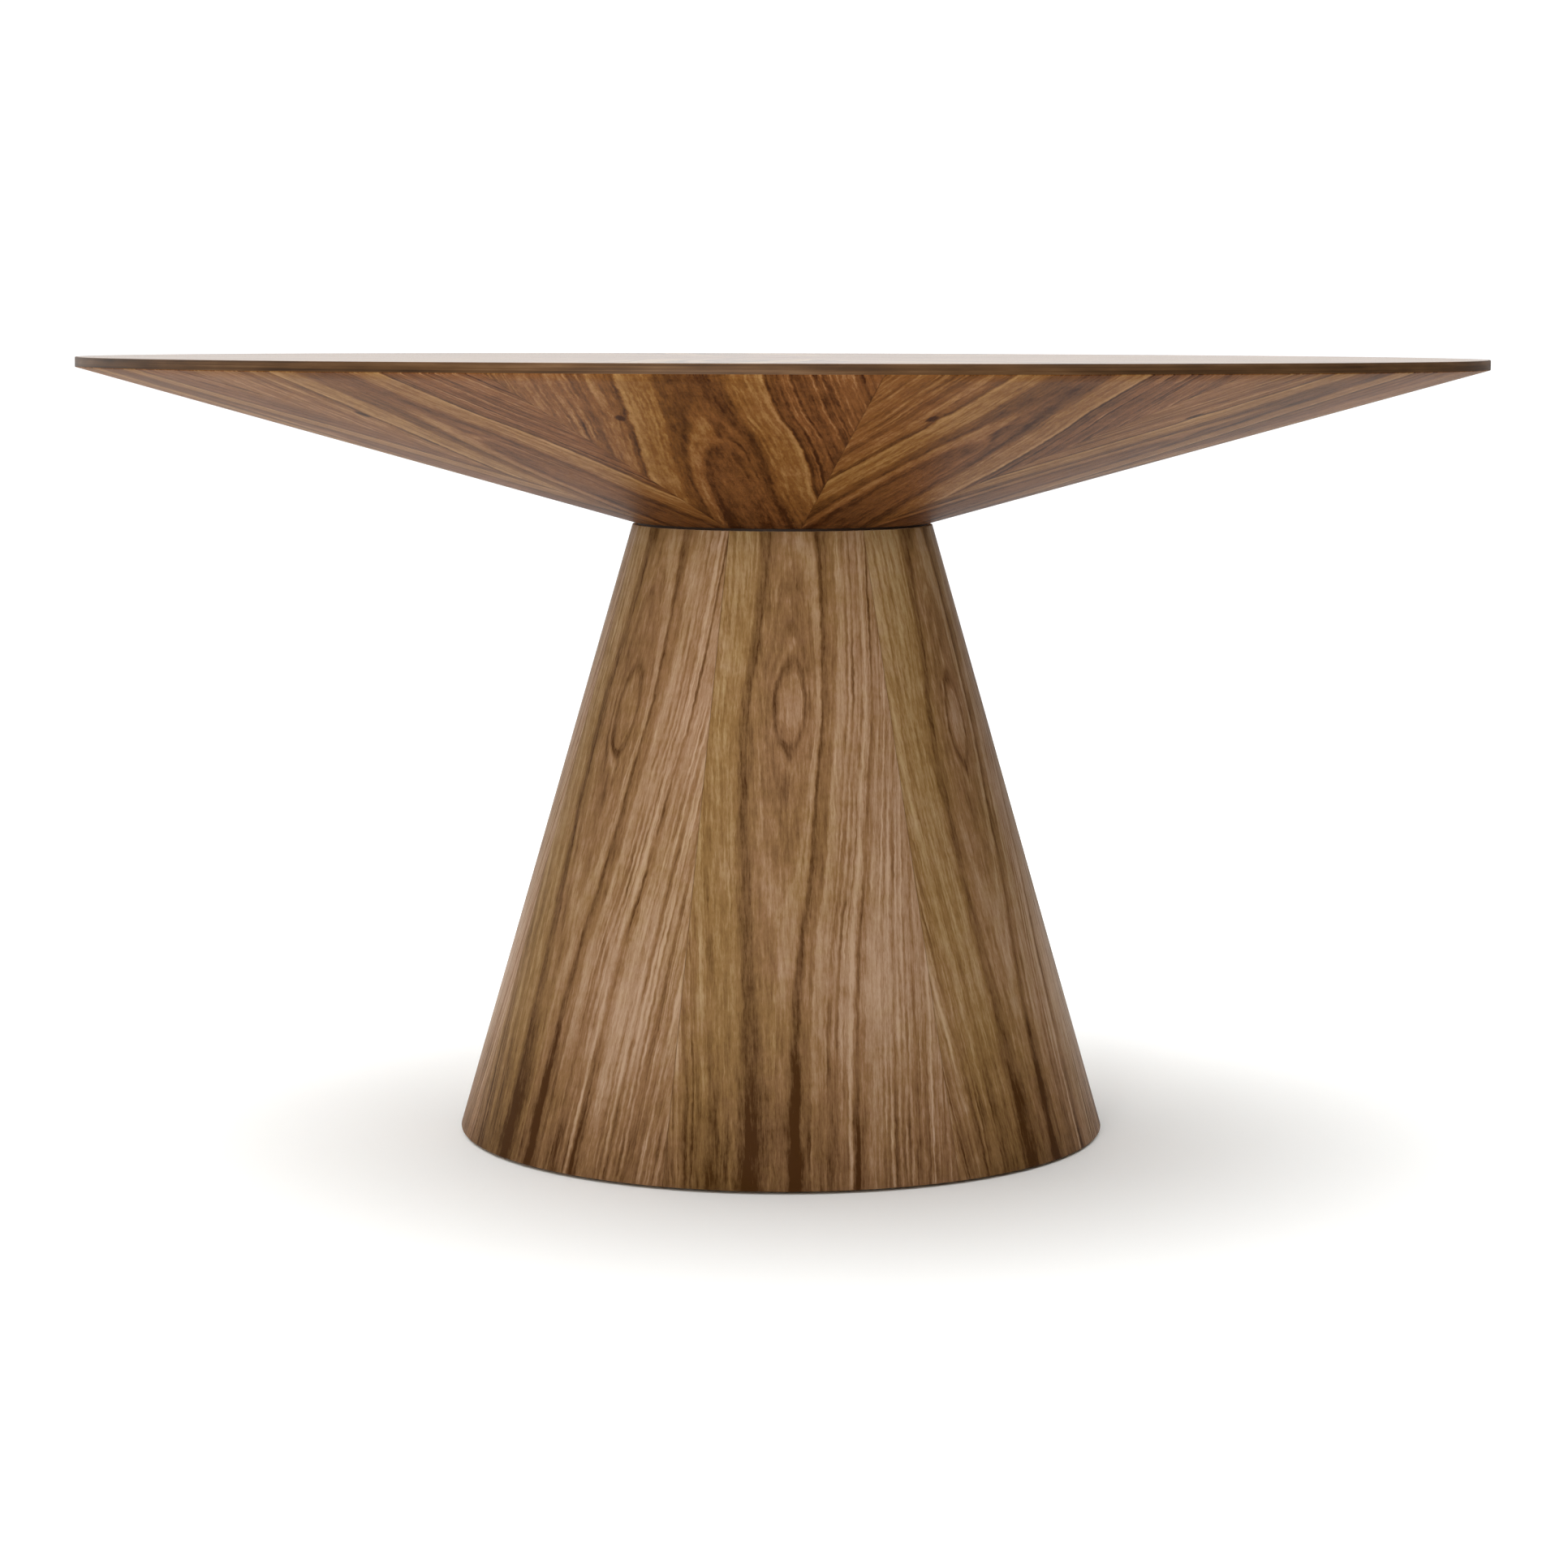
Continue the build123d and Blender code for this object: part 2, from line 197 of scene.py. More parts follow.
def ring(name, outline, segments):
    """An (r, z) outline turned once round, with a map of metres round it and across it."""
    bm = bmesh.new()
    grain = bm.loops.layers.uv.new("grain")
    widest = max(r for r, z in outline)
    turns = [
        [bm.verts.new((r * math.cos(a), r * math.sin(a), z)) for r, z in outline]
        for a in (math.tau * i / segments for i in range(segments))
    ]
    across = [0.0]
    for a, b in zip(outline, outline[1:] + outline[:1]):
        across.append(across[-1] + math.dist(a, b))
    for i in range(segments):
        here, there = turns[i], turns[(i + 1) % segments]
        for j in range(len(outline)):
            k = (j + 1) % len(outline)
            face = bm.faces.new((here[j], there[j], there[k], here[k]))
            face.smooth = True
            places = ((i, j), (i + 1, j), (i + 1, j + 1), (i, j + 1))
            for loop, (turn, step) in zip(face.loops, places):
                loop[grain].uv = (across[step], turn * math.tau * widest / segments)
    bmesh.ops.recalc_face_normals(bm, faces=bm.faces)
    mesh = bpy.data.meshes.new(name)
    bm.to_mesh(mesh)
    bm.free()
    mesh.set_sharp_from_angle(angle=RIM_CREASE)
    return new_piece(name, mesh)


# Node graphs, written as sums


class Value:
    """A socket that adds and multiplies like a number."""

    def __init__(self, graph, socket):
        self.graph = graph
        self.socket = socket

    def __add__(self, other):
        return self.graph.math("ADD", self, other)

    __radd__ = __add__

    def __sub__(self, other):
        return self.graph.math("SUBTRACT", self, other)

    def __rsub__(self, other):
        return self.graph.math("SUBTRACT", other, self)

    def __mul__(self, other):
        return self.graph.math("MULTIPLY", self, other)

    __rmul__ = __mul__

    def __truediv__(self, other):
        return self.graph.math("DIVIDE", self, other)

    def __abs__(self):
        return self.graph.math("ABSOLUTE", self)


class Graph:
    """A node tree, of a material or of the world."""

    def __init__(self, tree):
        self.tree = tree

    def feed(self, socket, value):
        """Link a value to a socket, or set a number or a colour on it."""
        if isinstance(value, Value):
            self.tree.links.new(value.socket, socket)
        elif isinstance(value, (tuple, list)) and len(socket.default_value) == 4:
            socket.default_value = (*value, 1.0)
        else:
            socket.default_value = value

    def node(self, kind, output, inputs=None, **settings):
        """One output of a new node with these inputs and settings."""
        made = self.tree.nodes.new(kind)
        for name, value in settings.items():
            setattr(made, name, value)
        for key, value in (inputs or {}).items():
            self.feed(made.inputs[key], value)
        return Value(self, made.outputs[output])

    def math(self, operation, *values):
        return self.node("ShaderNodeMath", 0, dict(enumerate(values)), operation=operation)

    def smooth(self, value, low, high, below=0.0, above=1.0):
        """below up to low, above from high on, and a smooth step between them."""
        inputs = {"Value": value, "From Min": low, "From Max": high}
        inputs |= {"To Min": below, "To Max": above}
        return self.node("ShaderNodeMapRange", 0, inputs, interpolation_type="SMOOTHSTEP")

    def vector(self, x, y, z=0.0):
        return self.node("ShaderNodeCombineXYZ", 0, {"X": x, "Y": y, "Z": z})

    def split(self, vector):
        """The three parts of a vector."""
        made = self.tree.nodes.new("ShaderNodeSeparateXYZ")
        self.feed(made.inputs[0], vector)
        return [Value(self, out) for out in made.outputs]

    def noise(self, vector, detail, roughness=0.5):
        """Noise from about -0.5 to 0.5, one blob to a unit."""
        inputs = {"Vector": vector, "Scale": 1.0, "Detail": detail, "Roughness": roughness}
        return self.node("ShaderNodeTexNoise", "Fac", inputs) - 0.5

    def curve(self, value, points):
        """A smooth curve through (x, y) points, x and y in any units."""
        xs = [x for x, y in points]
        ys = [y for x, y in points]
        low, high = min(xs), max(xs)
        bottom, top = min(ys), max(ys)
        made = self.tree.nodes.new("ShaderNodeFloatCurve")
        line = made.mapping.curves[0]
        scaled = [((x - low) / (high - low), (y - bottom) / (top - bottom)) for x, y in points]
        line.points[0].location = scaled[0]
        line.points[1].location = scaled[-1]
        for spot in scaled[1:-1]:
            line.points.new(*spot)
        made.mapping.update()
        self.feed(made.inputs["Value"], (value - low) / (high - low))
        return Value(self, made.outputs[0]) * (top - bottom) + bottom

    def ramp(self, value, stops):
        """A colour for each value from 0 to 1, through (value, colour) stops."""
        made = self.tree.nodes.new("ShaderNodeValToRGB")
        elements = made.color_ramp.elements
        elements[0].position, elements[0].color = stops[0][0], (*stops[0][1], 1.0)
        elements[1].position, elements[1].color = stops[-1][0], (*stops[-1][1], 1.0)
        for place, colour in stops[1:-1]:
            elements.new(place).color = (*colour, 1.0)
        self.feed(made.inputs[0], value)
        return Value(self, made.outputs[0])

    def mix(self, share, first, second, blend_type="MIX"):
        made = self.tree.nodes.new("ShaderNodeMix")
        made.data_type = "RGBA"
        made.blend_type = blend_type
        self.feed(made.inputs["Factor"], share)
        self.feed(made.inputs[6], first)
        self.feed(made.inputs[7], second)
        return Value(self, made.outputs[2])


class Finish(Graph):
    """A material with one Principled shader, whose constants are named like its sockets."""

    def __init__(self, name, **constants):
        self.material = bpy.data.materials.new(name)
        self.material.use_nodes = True
        super().__init__(self.material.node_tree)
        self.shader = self.tree.nodes["Principled BSDF"]
        for socket, value in constants.items():
            self.shader.inputs[socket.replace("_", " ")].default_value = value

    def bump(self, height, distance):
        """Raise the surface by height, distance metres for each unit."""
        inputs = {"Height": height, "Distance": distance}
        self.feed(self.shader.inputs["Normal"], self.node("ShaderNodeBump", 0, inputs))

    def done(self, colour, roughness):
        self.feed(self.shader.inputs["Base Color"], colour)
        self.feed(self.shader.inputs["Roughness"], roughness)
        return self.material


# Walnut veneer

# The tints between which the wood's colour wanders
GOLD = (1.0, 1.005, 0.83)
PINK = (1.03, 0.98, 1.08)

# How many millimetres the figure strays from its drawn lines: slowly, in waves, fibre by fibre
WANDER = 6.0
RIPPLE = 2.2
RAGGED = 3.4

# How much each part of the pattern changes the wood, from 0 for its darkest shade to 1 for its
# lightest
BROAD_LINES = 0.55
MIDDLING_LINES = 1.35
FINE_LINES = 0.45
LATE_WOOD = 0.10
FAINTEST_LINES = 0.35
STREAKS = 0.8
FIBRES = 0.4
FLECKS = 0.35
MOTTLING = 0.2
CLOUDS = 0.3
PORES = 0.16
KNOT = 0.62
SEAM_LINE = 0.4

# Over how many millimetres outside its closed rings the figure settles to run beside the trunk
SETTLING = (15.0, 130.0)


class Figure:
    """How the growth rings of one log cross its veneer. Lengths are millimetres on the flat leaf.

    Rings close round the heart of the figure. left and right are the outermost ring that closes,
    as (from the cone's tip, across), and it is reach out; heart is the line that the rings share;
    closing says how far out the rings are that meet on that line, from 0 at the heart to 1.
    Outside them the lines straighten until they run beside the trunk, at rest_left and rest_right.
    tones is how light the wood is across the rings, left side negative, hues how pink it is and
    grain how strong its growth lines are.
    """

    def __init__(
        self, left, heart, right, closing, rest_left, rest_right, tones, hues, grain, reach
    ):
        self.left = left
        self.heart = heart
        self.right = right
        self.closing = closing
        self.rest_left = rest_left
        self.rest_right = rest_right
        self.tones = tones
        self.hues = hues
        self.grain = grain
        self.reach = reach


def walnut(name, figure, half_angle, shades, knots=(), painted_shade=None, roughness=0.42, **constants):
    """Satin walnut veneer cut to one figure. Lengths are millimetres on the flat leaf.

    half_angle is half of a leaf's angle when flat; shades are the darkest, middle and lightest
    wood; knots are (from the cone's tip, across, half width, half length); painted_shade is shade
    painted into the wood: where it starts to darken and where it is darkest, from the cone's tip,
    and by how much.
    Each noise is stretched to its blobs' width across the grain and length along it, and its third
    number moves it on from one slice of the log to the next.
    """
    g = Finish(name, **constants)
    u, v, _ = g.split(g.node("ShaderNodeUVMap", 0, uv_map="grain"))
    cut = g.node("ShaderNodeAttribute", "Fac", attribute_name="slice")
    from_middle, from_tip = u * 1000.0, v * 1000.0
    drift = g.node("ShaderNodeAttribute", "Vector", attribute_name="drift")
    sideways, onwards, lighter = g.split(drift)
    across, along = from_middle - sideways, from_tip - onwards

    # the figure's wander, a little different in each slice, and its swelling round knots
    wander = g.noise(g.vector(across / 90.0, along / 260.0, cut * 0.12), 2.0)
    ripple = g.noise(g.vector(across / 14.0, along / 60.0, cut * 0.3), 3.0)
    ragged = g.noise(g.vector(across / 5.0, along / 12.0, cut * 1.7 + 4.0), 2.0)
    x = across + wander * WANDER + ripple * RIPPLE + ragged * RAGGED
    dark_knot = None
    for place, aside, half_width, half_length in knots:
        from_side = (across - aside) / half_width
        from_end = (along - place) / half_length
        away = g.math("SQRT", from_side * from_side + from_end * from_end)
        swell = 1.0 - g.smooth(away, 0.0, 3.4)
        x = x + swell * from_side * half_width * 0.8
        spot = 1.0 - g.smooth(away + ripple * 0.8, 0.45, 1.25)
        dark_knot = spot if dark_knot is None else g.math("MAXIMUM", dark_knot, spot)

    # how far out in the figure each point lies, on either side of its heart
    left = g.curve(along, figure.left)
    heart = g.curve(along, figure.heart)
    right = g.curve(along, figure.right)
    offset = x - heart
    on_right = g.math("GREATER_THAN", offset, 0.0)
    width = on_right * (right - heart) + (1.0 - on_right) * (heart - left)
    size = abs(offset)
    share = g.math("MINIMUM", size / width, 1.0)
    beyond = g.math("MAXIMUM", size - width, 0.0)
    closing = g.curve(along + ripple * 25.0 + wander * 30.0, figure.closing)
    square = share * share
    inside = g.math("SQRT", square + (1.0 - square) * closing * closing)
    resting = on_right * (x - figure.rest_right) + (1.0 - on_right) * (figure.rest_left - x)
    straight = g.smooth(beyond, *SETTLING)
    ring_depth = inside * figure.reach + beyond * (1.0 - straight) + resting * straight
    signed = ring_depth * (on_right * 2.0 - 1.0)

    # broad bands of each side, which blend over the heart line
    side = g.smooth(offset, -6.0, 6.0)
    tones_left = g.curve(-1.0 * ring_depth, [p for p in figure.tones if p[0] <= 0])
    tones_right = g.curve(ring_depth, [p for p in figure.tones if p[0] >= 0])
    band = tones_left * (1.0 - side) + tones_right * side

    # growth lines: broad, middling and fine, and a few late-wood lines with a hard edge
    strength = g.smooth(g.noise(g.vector(across / 12.0, along / 90.0, cut * 0.2), 3.0), -0.2, 0.2)
    broad = g.noise(g.vector(signed / 9.0, along / 1400.0, 3.1), 2.0, 0.6)
    middling = g.noise(g.vector(signed / 3.4, along / 700.0, 5.3), 1.0, 0.5)
    fine = g.noise(g.vector(signed / 1.3, along / 320.0, 7.7), 1.0, 0.5)
    late = g.smooth(g.noise(g.vector(signed / 3.6, along / 1100.0, 11.9), 0.0), 0.10, 0.26)
    in_core = g.smooth(ring_depth, 3.0, 16.0)
    thin_lines = (middling * MIDDLING_LINES + fine * FINE_LINES) * (strength + FAINTEST_LINES)
    lines = broad * BROAD_LINES + thin_lines - late * strength * LATE_WOOD
    lines = lines * in_core * g.curve(signed, figure.grain)

    # fibres and pores run with the trunk
    fibre = g.noise(g.vector(across / 0.8, along / 22.0, cut), 3.0, 0.6)
    fleck = g.noise(g.vector(across / 1.9, along / 7.0, cut * 2.0), 2.0, 0.65)
    streak = g.noise(g.vector(x / 4.0, along / 40.0, cut * 0.9 + 2.0), 3.0, 0.6)
    mottle = g.noise(g.vector(across / 22.0, along / 13.0, cut * 0.5), 3.0, 0.55)
    cloud = g.noise(g.vector(across / 60.0, along / 130.0, cut * 0.4 + 9.0), 2.0)
    pores = g.noise(g.vector(across / 0.45, along / 6.5, cut * 3.0), 1.0)
    pore = g.smooth(pores + middling * 0.2, 0.12, 0.24)

    light = band + lighter + lines + streak * STREAKS + fibre * FIBRES + fleck * FLECKS
    light = light + mottle * MOTTLING + cloud * CLOUDS - pore * PORES
    if dark_knot is not None:
        light = light - dark_knot * KNOT
    # painted shade: the wood is darkened between two distances from the cone's tip, with a cloudy
    # edge
    if painted_shade is not None:
        start, end, amount = painted_shade
        light = light - g.smooth(from_tip + cloud * 60.0, start, end) * amount
    colour = g.ramp(light, [(0.0, shades[0]), (0.5, shades[1]), (1.0, shades[2])])
    warm = g.curve(signed, figure.hues) + cloud * 1.1 + mottle * 0.8
    tint = g.mix(g.smooth(warm, -0.6, 0.6), GOLD, PINK)
    colour = g.mix(1.0, colour, tint, "MULTIPLY")

    # the dark hairline of each glued seam
    edge = from_tip * math.tan(half_angle) - abs(from_middle)
    seam = 1.0 - g.smooth(edge, 0.1, 0.8)
    colour = g.mix(seam * SEAM_LINE, colour, shades[0])

    rough = roughness + fibre * 0.14 + pore * 0.14 - light * 0.05
    g.bump(fibre * 0.3 + fleck * 0.1 - pore, 0.00006)
    return g.done(colour, rough)


PEDESTAL_FIGURE = Figure(
    left=[
        (540, -31),
        (600, -36),
        (650, -42),
        (690, -49),
        (735, -55),
        (800, -58),
        (1050, -58),
        (1160, -64),
    ],
    heart=[
        (540, -6),
        (600, -8),
        (705, -9),
        (757, -12),
        (820, -18),
        (915, -27),
        (1000, -32),
        (1160, -36),
    ],
    right=[
        (540, 19),
        (700, 20),
        (740, 17),
        (780, 12),
        (850, 6),
        (880, 2),
        (950, -8),
        (1050, -14),
        (1160, -17),
    ],
    closing=[
        (540, 0.86),
        (560, 0.80),
        (615, 0.60),
        (655, 0.45),
        (675, 0.30),
        (690, 0.15),
        (705, 0.02),
        (722, 0.15),
        (738, 0.30),
        (757, 0.45),
        (820, 0.62),
        (915, 0.82),
        (1000, 0.90),
        (1160, 0.92),
    ],
    rest_left=-55,
    rest_right=6,
    tones=[
        (-170, 0.50),
        (-136, 0.64),
        (-124, 0.52),
        (-112, 0.66),
        (-100, 0.52),
        (-88, 0.60),
        (-74, 0.52),
        (-62, 0.56),
        (-50, 0.48),
        (-45, 0.38),
        (-40, 0.16),
        (-37, 0.42),
        (-31, 0.48),
        (-26, 0.42),
        (-21, 0.48),
        (-17, 0.34),
        (-15, 0.30),
        (-12, 0.52),
        (0, 0.58),
        (12, 0.52),
        (15, 0.30),
        (17, 0.34),
        (21, 0.48),
        (26, 0.42),
        (31, 0.48),
        (35, 0.68),
        (38, 0.48),
        (40, 0.20),
        (44, 0.36),
        (50, 0.54),
        (60, 0.64),
        (72, 0.60),
        (79, 0.62),
        (83, 0.78),
        (88, 0.50),
        (98, 0.70),
        (112, 0.66),
        (122, 0.76),
        (130, 0.66),
        (150, 0.66),
        (170, 0.60),
    ],
    hues=[
        (-170, 0.2),
        (-120, 0.1),
        (-60, -0.35),
        (-40, -0.1),
        (-10, 0.2),
        (10, 0.2),
        (45, 0.1),
        (80, 0.3),
        (170, 0.3),
    ],
    grain=[
        (-170, 1.0),
        (-104, 0.9),
        (-88, 0.6),
        (-46, 0.5),
        (0, 0.6),
        (40, 0.4),
        (58, 0.6),
        (75, 0.9),
        (170, 1.0),
    ],
    reach=40.0,
)

UNDERSIDE_FIGURE = Figure(
    left=[
        (150, -50),
        (250, -48),
        (330, -45),
        (400, -40),
        (480, -33),
        (560, -25),
        (620, -22),
        (720, -17),
    ],
    heart=[(150, -10), (300, -8), (400, -3), (470, 2), (720, 4)],
    right=[(150, 27), (290, 27), (400, 32), (500, 32), (560, 28), (620, 26), (720, 30)],
    closing=[
        (150, 0.05),
        (300, 0.14),
        (400, 0.34),
        (470, 0.53),
        (520, 0.73),
        (600, 0.86),
        (720, 0.93),
    ],
    rest_left=-35,
    rest_right=29,
    tones=[
        (-190, 0.40),
        (-150, 0.46),
        (-130, 0.52),
        (-112, 0.44),
        (-104, 0.54),
        (-96, 0.42),
        (-80, 0.48),
        (-73, 0.40),
        (-70, 0.20),
        (-66, 0.50),
        (-62, 0.74),
        (-58, 0.54),
        (-46, 0.56),
        (-37, 0.46),
        (-30, 0.24),
        (-26, 0.34),
        (-22, 0.60),
        (-18, 0.36),
        (-14, 0.26),
        (-8, 0.36),
        (0, 0.44),
        (8, 0.36),
        (14, 0.28),
        (18, 0.40),
        (24, 0.42),
        (29, 0.16),
        (34, 0.26),
        (40, 0.48),
        (52, 0.56),
        (60, 0.48),
        (64, 0.74),
        (68, 0.46),
        (71, 0.16),
        (76, 0.26),
        (86, 0.34),
        (94, 0.28),
        (104, 0.42),
        (112, 0.30),
        (124, 0.44),
        (150, 0.36),
        (190, 0.40),
    ],
    hues=[
        (-190, 0.0),
        (-90, 0.0),
        (-62, -0.3),
        (-45, -0.4),
        (-25, -0.1),
        (0, 0.3),
        (30, 0.0),
        (50, -0.3),
        (70, 0.0),
        (95, 0.4),
        (190, 0.2),
    ],
    grain=[
        (-190, 0.6),
        (-95, 0.7),
        (-66, 0.5),
        (-30, 0.5),
        (0, 0.5),
        (30, 0.5),
        (64, 0.5),
        (80, 0.9),
        (190, 0.8),
    ],
    reach=30.0,
)

PEDESTAL_SHADES = [(0.054, 0.021, 0.005), (0.222, 0.122, 0.052), (0.400, 0.280, 0.165)]
# the underside's walnut is darker and redder than the pedestal's: partly the wood's own colour,
# partly painted shade and the warm tint of painted bounce light
UNDERSIDE_SHADES = [(0.030, 0.008, 0.0014), (0.150, 0.058, 0.015), (0.310, 0.172, 0.068)]
# painted shade: the top face's walnut is a darker copy of the same wood, to offset the strong
# overhead light on a level face
TOP_SHADES_PAINTED_DARKER = [(0.036, 0.014, 0.004), (0.148, 0.078, 0.031), (0.260, 0.166, 0.088)]
EDGE_SHADES = [(0.018, 0.008, 0.003), (0.075, 0.036, 0.014), (0.165, 0.092, 0.045)]
PEDESTAL_DRIFTS = [
    (0, 0, 0.0),
    (11, 26, 0.06),
    (5, 12, -0.04),
    (-7, -10, 0.03),
    (-3, 12, -0.03),
    (5, -6, 0.02),
    (1, 8, 0.0),
]
UNDERSIDE_DRIFTS = [(0, 0, 0.0)] * 9 + [(0, 0, 0.06), (0, 0, 0.09), (0, 0, 0.06), (0, 0, 0.0)]
UNDERSIDE_KNOTS = [(568, -72, 4.5, 11.0)]


def edge_walnut():
    """Straight-grained dark lipping whose grain runs round the rim."""
    g = Finish("edge_walnut", Specular_IOR_Level=0.1)
    across, along, _ = g.split(g.node("ShaderNodeUVMap", 0, uv_map="grain"))
    across, along = across * 1000.0, along * 1000.0
    lines = g.noise(g.vector(across / 2.2, along / 380.0), 2.0, 0.6)
    cloud = g.noise(g.vector(across / 12.0, along / 70.0), 2.0)
    fibre = g.noise(g.vector(across / 0.4, along / 14.0), 3.0, 0.6)
    light = 0.42 + lines * 1.2 + cloud * 0.8 + fibre * 0.3
    darkest, middle, lightest = EDGE_SHADES
    colour = g.ramp(light, [(0.0, darkest), (0.5, middle), (1.0, lightest)])
    g.bump(fibre, 0.00005)
    return g.done(colour, 0.46 + fibre * 0.12)


def position(g):
    """Where a point is on the table, in metres."""
    return g.split(g.node("ShaderNodeTexCoord", "Object"))


def fibreboard():
    """Medium-density fibreboard, felted and a little cloudy."""
    g = Finish("fibreboard")
    x, y, z = position(g)
    felt = g.noise(g.vector(x * 900.0, y * 900.0, z * 2200.0), 4.0, 0.7)
    cloud = g.noise(g.vector(x * 14.0, y * 14.0, z * 60.0), 3.0)
    light = 0.5 + felt * 0.6 + cloud * 0.3
    colour = g.ramp(light, [(0.0, (0.24, 0.145, 0.075)), (1.0, (0.47, 0.33, 0.20))])
    g.bump(felt, 0.0001)
    return g.done(colour, 0.82 + felt * 0.1)


# One ply of plywood, in metres, and its colours
PLY = 0.0015
BIRCH_FACE = (0.56, 0.40, 0.25)
BIRCH_DARK = (0.30, 0.17, 0.085)


def plywood(name, turn=None):
    """Birch plywood. turn is the angle of an upright radial board; level boards have none."""
    g = Finish(name)
    x, y, z = position(g)
    if turn is None:
        through, along, over = z, x, y
    else:
        through = y * math.cos(turn) - x * math.sin(turn)
        along = z
        over = x * math.cos(turn) + y * math.sin(turn)
    layer = g.math("FRACT", through / (2 * PLY) + 50.0)
    end_grain = g.smooth(abs(layer - 0.5), 0.22, 0.28)
    glue = g.smooth(abs(abs(layer - 0.5) - 0.25), 0.0, 0.05)
    lines = g.noise(g.vector(over * 160.0, along * 7.0, through * 300.0), 3.0, 0.6)
    fleck = g.noise(g.vector(over * 1500.0, along * 240.0, through * 900.0), 2.0, 0.6)
    light = 0.62 + lines * 0.5 + fleck * 0.2 - end_grain * 0.22 - (1.0 - glue) * 0.3
    colour = g.ramp(light, [(0.0, BIRCH_DARK), (0.6, BIRCH_FACE), (1.0, (0.72, 0.56, 0.38))])
    g.bump(fleck, 0.00008)
    return g.done(colour, 0.66 + fleck * 0.15)


def bent_plywood(name, face):
    """Thin plies bent round a cone, seen on their edges as rings."""
    g = Finish(name)
    x, y, z = position(g)
    out = g.math("SQRT", x * x + y * y)
    run = face.end - face.start
    slope = run.x / run.y
    depth = face.start.x + (z - face.start.y) * slope - out
    layer = g.math("FRACT", abs(depth) / (2 * PLY))
    end_grain = g.smooth(abs(layer - 0.5), 0.22, 0.28)
    turn = g.math("ARCTAN2", y, x)
    lines = g.noise(g.vector(turn * 60.0, z * 5.0, 0.0), 3.0, 0.6)
    fleck = g.noise(g.vector(turn * 420.0, z * 160.0, out * 200.0), 2.0, 0.6)
    light = 0.58 + lines * 0.5 + fleck * 0.2 - end_grain * 0.2
    stops = [(0.0, (0.24, 0.13, 0.065)), (0.6, (0.47, 0.31, 0.18)), (1.0, (0.62, 0.45, 0.28))]
    colour = g.ramp(light, stops)
    g.bump(fleck, 0.0001)
    return g.done(colour, 0.72 + fleck * 0.12)


def beech():
    """Turned beech with its short flecks."""
    g = Finish("beech")
    x, y, z = position(g)
    fleck = g.noise(g.vector(x * 700.0, y * 700.0, z * 120.0), 3.0, 0.6)
    colour = g.ramp(0.5 + fleck * 0.8, [(0.0, (0.40, 0.22, 0.11)), (1.0, (0.66, 0.45, 0.27))])
    return g.done(colour, 0.6 + fleck * 0.1)


def plated_steel():
    """Zinc plate with the faint haze and grey blotches of passivated fasteners."""
    g = Finish("plated_steel", Metallic=1.0)
    x, y, z = position(g)
    haze = g.noise(g.vector(x * 260.0, y * 260.0, z * 260.0), 4.0, 0.6)
    drawn = g.noise(g.vector(x * 900.0, y * 900.0, z * 6000.0), 2.0)
    colour = g.ramp(0.5 + haze, [(0.0, (0.42, 0.42, 0.40)), (1.0, (0.66, 0.66, 0.62))])
    g.bump(drawn, 0.00002)
    return g.done(colour, 0.34 + haze * 0.25)


def painted_steel():
    """Black-painted plate with scuffs that show the grey under it."""
    g = Finish("painted_steel")
    x, y, z = position(g)
    skin = g.noise(g.vector(x * 500.0, y * 500.0, z * 500.0), 3.0, 0.6)
    scuff = g.smooth(g.noise(g.vector(x * 22.0, y * 90.0, z * 60.0), 5.0, 0.7), 0.17, 0.24)
    colour = g.ramp(0.5 + skin * 0.5, [(0.0, (0.012, 0.012, 0.013)), (1.0, (0.032, 0.032, 0.034))])
    colour = g.mix(scuff * 0.5, colour, (0.16, 0.155, 0.15))
    g.bump(skin, 0.00012)
    return g.done(colour, 0.55 + skin * 0.2)


def dark_plastic(name, shade, tint=(1.0, 1.0, 1.0), **constants):
    """Moulded plastic with a fine grain and rubbed patches, between two darknesses of one tint."""
    g = Finish(name, **constants)
    x, y, z = position(g)
    grain = g.noise(g.vector(x * 1800.0, y * 1800.0, z * 1800.0), 3.0, 0.6)
    rubbed = g.noise(g.vector(x * 70.0, y * 70.0, z * 30.0), 3.0)
    low, high = (tuple(shade * part * share for part in tint) for share in (0.8, 1.5))
    colour = g.ramp(0.5 + grain * 0.5 + rubbed * 0.4, [(0.0, low), (1.0, high)])
    g.bump(grain, 0.00006)
    return g.done(colour, 0.58 + rubbed * 0.15)


def dress(material, *nodes):
    """Give CAD nodes a material."""
    for node in nodes:
        slots = NODES[node].data.materials
        slots.clear()
        slots.append(material)


# The visible veneers

pedestal_cone = Cone((NECK_RADIUS, NECK_Z), (FOOT_RADIUS, FOOT_Z), -1)
underside_cone = Cone((NECK_RADIUS, TOP_Z), (TOP_RADIUS, RIM_Z), 1)
top_disc = Cone((0.0, HEIGHT), (FACE_RADIUS, HEIGHT), -1)
leaf_half = math.pi / TOP_LEAVES

